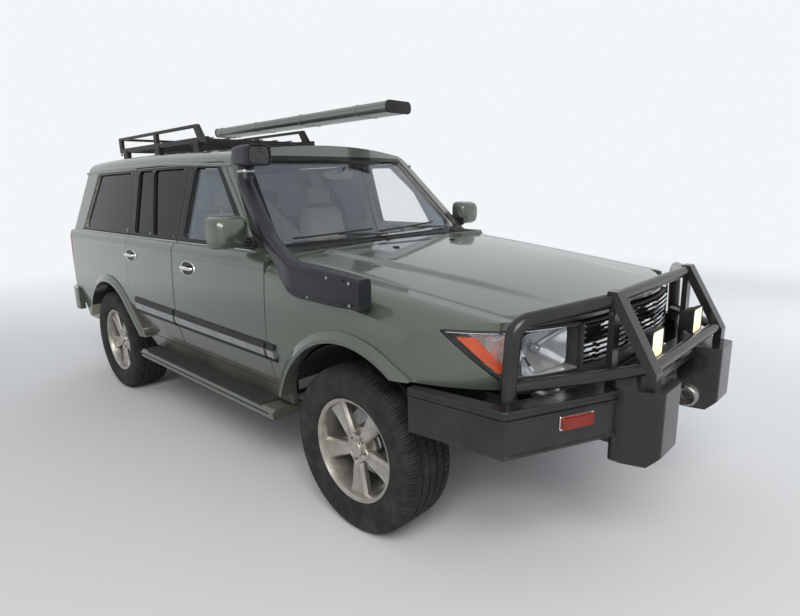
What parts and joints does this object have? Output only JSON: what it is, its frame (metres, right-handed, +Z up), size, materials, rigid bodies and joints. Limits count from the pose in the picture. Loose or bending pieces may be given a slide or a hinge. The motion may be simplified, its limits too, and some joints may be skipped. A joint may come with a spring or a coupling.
{
  "type": "off-road station wagon",
  "caption": "Off-road four-by-four wagon with opening doors, hood, hatch and tailgate, steering and turning wheels, bull bar, snorkel, roof rack and awning.",
  "frame": {"origin": "on the ground, in the middle of the vehicle's length and width", "axes": "+Z up, the front faces -Y, the vehicle's left side is +X"},
  "size_m": [2.188, 5.15, 2.1499],
  "materials": {
    "body_paint": "metallic sage green clear coat",
    "chassis_black": "satin underbody black",
    "bar_black": "gloss black powder coat",
    "clear_glass": "clear",
    "dark_glass": "privacy tint",
    "lamp_clear": "moulded lens",
    "lamp_red": "moulded lens",
    "lamp_amber": "moulded lens",
    "chrome_trim": "bright plate",
    "matte_black": "moulded",
    "case_grey": "anodised",
    "seat_fabric": "woven",
    "cabin_plastic": "grained",
    "engine_grey": "as cast",
    "tyre_rubber": "moulded",
    "wheel_alloy": "painted silver"
  },
  "bodies": {
    "root": {"awning_case": "case_grey", "body_shell": "body_paint", "chassis_frame": "chassis_black", "dashboard": "cabin_plastic", "driveline": "chassis_black", "driving_lights": "lamp_clear", "engine": "engine_grey", "exhaust": "chassis_black", "floor_pan": "chassis_black", "front_bar": "bar_black", "front_seats": "seat_fabric", "front_suspension": "chassis_black", "fuel_tank": "chassis_black", "grille": "chrome_trim", "headlamps": "lamp_clear", "marker_lamps": "lamp_amber", "nose_panel": "body_paint", "quarter_glass": "dark_glass", "radiator": "chassis_black", "rear_axle": "chassis_black", "rear_bumper": "bar_black", "rear_seat": "seat_fabric", "roof_rack": "bar_black", "running_boards": "bar_black", "snorkel": "matte_black", "spare_wheel": "tyre_rubber", "steering_wheel": "cabin_plastic", "tail_lamps": "lamp_red", "tow_receiver": "chassis_black", "winch": "bar_black", "windscreen": "clear_glass", "wing_left": "body_paint", "wing_right": "body_paint"},
    "door_front_left": {"door_front_left": "body_paint", "glass_front_left": "clear_glass", "mirror_left": "body_paint"},
    "door_front_right": {"door_front_right": "body_paint", "glass_front_right": "clear_glass", "mirror_right": "body_paint"},
    "door_rear_left": {"door_rear_left": "body_paint", "glass_rear_left": "dark_glass"},
    "door_rear_right": {"door_rear_right": "body_paint", "glass_rear_right": "dark_glass"},
    "hood": {"hood": "body_paint"},
    "upper_hatch": {"upper_hatch": "body_paint", "hatch_glass": "dark_glass"},
    "lower_tailgate": {"lower_tailgate": "body_paint"},
    "knuckle_left": {"knuckle_left": "chassis_black"},
    "knuckle_right": {"knuckle_right": "chassis_black"},
    "wheel_front_left": {"tyre_front_left": "tyre_rubber", "wheel_front_left": "wheel_alloy"},
    "wheel_front_right": {"tyre_front_right": "tyre_rubber", "wheel_front_right": "wheel_alloy"},
    "wheel_rear_left": {"tyre_rear_left": "tyre_rubber", "wheel_rear_left": "wheel_alloy"},
    "wheel_rear_right": {"tyre_rear_right": "tyre_rubber", "wheel_rear_right": "wheel_alloy"}
  },
  "joints": [
    {"name": "door_front_left_hinge", "type": "hinge", "parent": "root", "child": "door_front_left", "pos_m": [0.95, -0.798, 0.9], "axis": [0, 0, -1], "range_deg": [0, 65]},
    {"name": "door_rear_left_hinge", "type": "hinge", "parent": "root", "child": "door_rear_left", "pos_m": [0.95, 0.259, 0.9], "axis": [0, 0, -1], "range_deg": [0, 65]},
    {"name": "door_front_right_hinge", "type": "hinge", "parent": "root", "child": "door_front_right", "pos_m": [-0.95, -0.798, 0.9], "axis": [0, 0, 1], "range_deg": [0, 65]},
    {"name": "door_rear_right_hinge", "type": "hinge", "parent": "root", "child": "door_rear_right", "pos_m": [-0.95, 0.259, 0.9], "axis": [0, 0, 1], "range_deg": [0, 65]},
    {"name": "hood_hinge", "type": "hinge", "parent": "root", "child": "hood", "pos_m": [0, -0.8465, 1.246], "axis": [-1, 0, 0], "range_deg": [0, 50]},
    {"name": "upper_hatch_hinge", "type": "hinge", "parent": "root", "child": "upper_hatch", "pos_m": [0, 2.293, 1.768], "axis": [1, 0, 0], "range_deg": [0, 80]},
    {"name": "lower_tailgate_hinge", "type": "hinge", "parent": "root", "child": "lower_tailgate", "pos_m": [0, 2.504, 0.741], "axis": [-1, 0, 0], "range_deg": [0, 90]},
    {"name": "steer_left", "type": "hinge", "parent": "root", "child": "knuckle_left", "pos_m": [0.752, -1.41, 0.394], "axis": [0, 0, 1], "range_deg": [-30, 30]},
    {"name": "steer_right", "type": "hinge", "parent": "root", "child": "knuckle_right", "pos_m": [-0.752, -1.41, 0.394], "axis": [0, 0, 1], "range_deg": [-30, 30]},
    {"name": "wheel_front_left_spin", "type": "hinge", "parent": "knuckle_left", "child": "wheel_front_left", "pos_m": [0.81, -1.41, 0.394], "axis": [1, 0, 0], "continuous": true},
    {"name": "wheel_front_right_spin", "type": "hinge", "parent": "knuckle_right", "child": "wheel_front_right", "pos_m": [-0.81, -1.41, 0.394], "axis": [1, 0, 0], "continuous": true},
    {"name": "wheel_rear_left_spin", "type": "hinge", "parent": "root", "child": "wheel_rear_left", "pos_m": [0.81, 1.44, 0.394], "axis": [1, 0, 0], "continuous": true},
    {"name": "wheel_rear_right_spin", "type": "hinge", "parent": "root", "child": "wheel_rear_right", "pos_m": [-0.81, 1.44, 0.394], "axis": [1, 0, 0], "continuous": true}
  ],
  "couplings": [
    {"joint": "steer_right", "follows": "steer_left", "ratio": 1}
  ]
}
